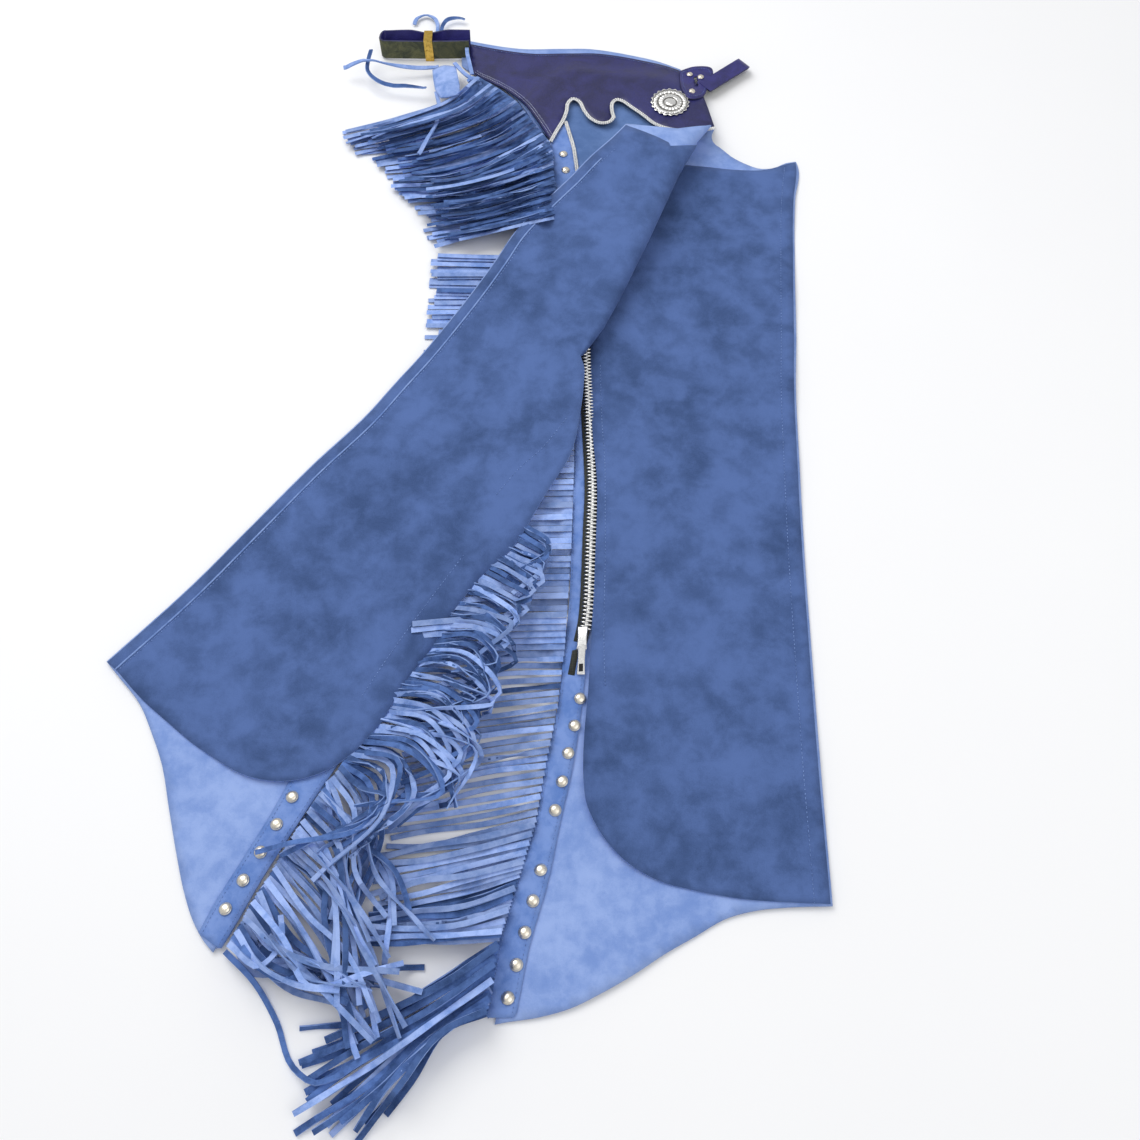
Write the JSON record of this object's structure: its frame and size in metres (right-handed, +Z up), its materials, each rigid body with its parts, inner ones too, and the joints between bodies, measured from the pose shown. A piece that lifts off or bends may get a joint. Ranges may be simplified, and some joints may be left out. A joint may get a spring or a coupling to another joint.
{
  "type": "fringed chaps",
  "caption": "Suede chaps with a scalloped leather yoke, zipped legs, studded side bands and long fringe, lying folded at the front with the upper leg turned over.",
  "frame": {"origin": "middle of the underside of the part as it lies, measured without its loose laces", "axes": "+X to the right across the legs as they lie, +Y from the hems to the yoke, +Z up"},
  "size_m": [0.669, 1.2308, 0.046],
  "materials": {
    "suede_inner": "pale blue flesh side of split suede, soft nap",
    "suede_outer": "slate-blue split suede with a cloudy brushed nap",
    "fringe_suede": "cut suede strands, slate blue on one face and pale on the other",
    "yoke_leather": "smooth semi-gloss navy leather with a fine grain",
    "strap_leather": "smooth navy strap leather",
    "trim_braid": "white twisted cord trim",
    "zip_tape": "dark woven zip tape",
    "zip_metal": "bright metal zip teeth and slider",
    "stud_metal": "polished nickel rivet caps",
    "concho_metal": "stamped silver-coloured concho",
    "keeper_brass": "brushed brass keeper",
    "lace_suede": "narrow cut suede lace"
  },
  "bodies": {
    "root": {"leg_a_front_panel": "suede_inner", "leg_b_front_panel": "suede_inner", "yoke_a": "suede_inner", "leg_a_back_panel": "suede_outer", "leg_b_back_panel": "suede_outer", "side_strip": "suede_outer", "leg_a_fringe_1": "fringe_suede", "leg_a_fringe_2": "fringe_suede", "leg_a_fringe_3": "fringe_suede", "leg_a_fringe_4": "fringe_suede", "leg_a_fringe_5": "fringe_suede", "hip_fringe": "fringe_suede", "leg_b_fringe_1": "fringe_suede", "leg_b_fringe_2": "fringe_suede", "yoke_b": "yoke_leather", "front_tab": "yoke_leather", "back_strap": "strap_leather", "front_strap": "strap_leather", "yoke_trim": "trim_braid", "side_strip_trim": "trim_braid", "zip_tape": "zip_tape", "zip_teeth": "zip_metal", "zip_slider": "zip_metal", "zip_pull": "zip_metal", "leg_a_stud_1": "stud_metal", "leg_a_stud_2": "stud_metal", "leg_a_stud_3": "stud_metal", "leg_a_stud_4": "stud_metal", "leg_a_stud_5": "stud_metal", "leg_a_stud_7": "stud_metal", "leg_a_stud_8": "stud_metal", "leg_a_stud_9": "stud_metal", "leg_a_stud_10": "stud_metal", "leg_a_stud_11": "stud_metal", "leg_b_stud_1": "stud_metal", "leg_b_stud_2": "stud_metal", "leg_b_stud_3": "stud_metal", "leg_b_stud_4": "stud_metal", "leg_b_stud_5": "stud_metal", "side_strip_stud_1": "stud_metal", "side_strip_stud_2": "stud_metal", "side_strip_stud_3": "stud_metal", "side_strip_stud_4": "stud_metal", "front_rivet_1": "stud_metal", "front_rivet_2": "stud_metal", "front_rivet_3": "stud_metal", "concho": "concho_metal", "strap_keeper": "keeper_brass", "lace_bow": "lace_suede", "lace_dark": "lace_suede", "lace_long": "lace_suede", "lace_left": "lace_suede", "lace_hang": "lace_suede"}
  },
  "joints": []
}
